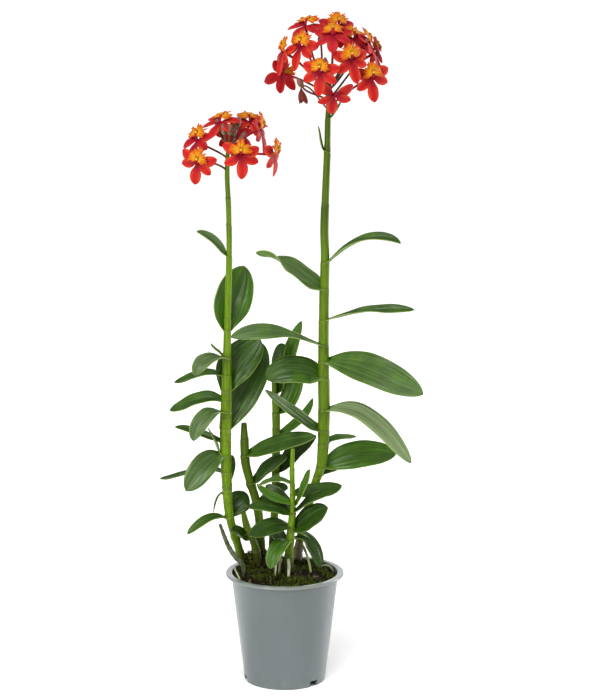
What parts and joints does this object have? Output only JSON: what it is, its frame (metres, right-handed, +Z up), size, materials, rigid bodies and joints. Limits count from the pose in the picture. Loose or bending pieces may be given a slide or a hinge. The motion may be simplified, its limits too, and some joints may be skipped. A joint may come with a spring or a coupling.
{
  "type": "potted epidendrum orchid",
  "caption": "Reed-stemmed epidendrum orchid with red and orange flower heads, growing in a grey plastic pot with bark and moss.",
  "frame": {"origin": "on the ground, on the pot's axis", "axes": "+Z up, -Y towards the front, with the taller flower head on the +X side"},
  "size_m": [0.2655, 0.12, 0.6748],
  "materials": {
    "pot_plastic": "satin moulded grey plastic",
    "growing_medium": "loose bark, peat and moss",
    "cane": "waxy green cane",
    "leaf": "waxy leathery leaf",
    "flower": "fine crystalline petal"
  },
  "bodies": {
    "root": {"back_cane": "cane", "back_leaf_01": "leaf", "back_leaf_02": "leaf", "back_leaf_03": "leaf", "growing_medium": "growing_medium", "left_cane": "cane", "left_flower_01": "flower", "left_flower_02": "flower", "left_flower_03": "flower", "left_flower_04": "flower", "left_flower_05": "flower", "left_flower_06": "flower", "left_flower_07": "flower", "left_leaf_01": "leaf", "left_leaf_02": "leaf", "left_leaf_03": "leaf", "left_leaf_04": "leaf", "left_leaf_05": "leaf", "left_leaf_06": "leaf", "left_leaf_07": "leaf", "left_leaf_08": "leaf", "left_leaf_09": "leaf", "left_leaf_10": "leaf", "left_leaf_11": "leaf", "middle_cane": "cane", "middle_leaf_01": "leaf", "middle_leaf_02": "leaf", "pot": "pot_plastic", "right_cane": "cane", "right_flower_01": "flower", "right_flower_02": "flower", "right_flower_03": "flower", "right_flower_04": "flower", "right_flower_05": "flower", "right_flower_06": "flower", "right_flower_07": "flower", "right_flower_08": "flower", "right_flower_09": "flower", "right_flower_10": "flower", "right_flower_11": "flower", "right_leaf_01": "leaf", "right_leaf_02": "leaf", "right_leaf_03": "leaf", "right_leaf_04": "leaf", "right_leaf_05": "leaf", "right_leaf_06": "leaf", "right_leaf_07": "leaf", "right_leaf_08": "leaf", "right_leaf_09": "leaf", "short_cane": "cane", "young_cane": "cane", "young_leaf_01": "leaf", "young_leaf_02": "leaf", "young_leaf_03": "leaf", "young_leaf_04": "leaf", "young_leaf_05": "leaf", "young_leaf_06": "leaf", "young_leaf_07": "leaf", "young_leaf_08": "leaf", "young_leaf_09": "leaf"}
  },
  "joints": []
}
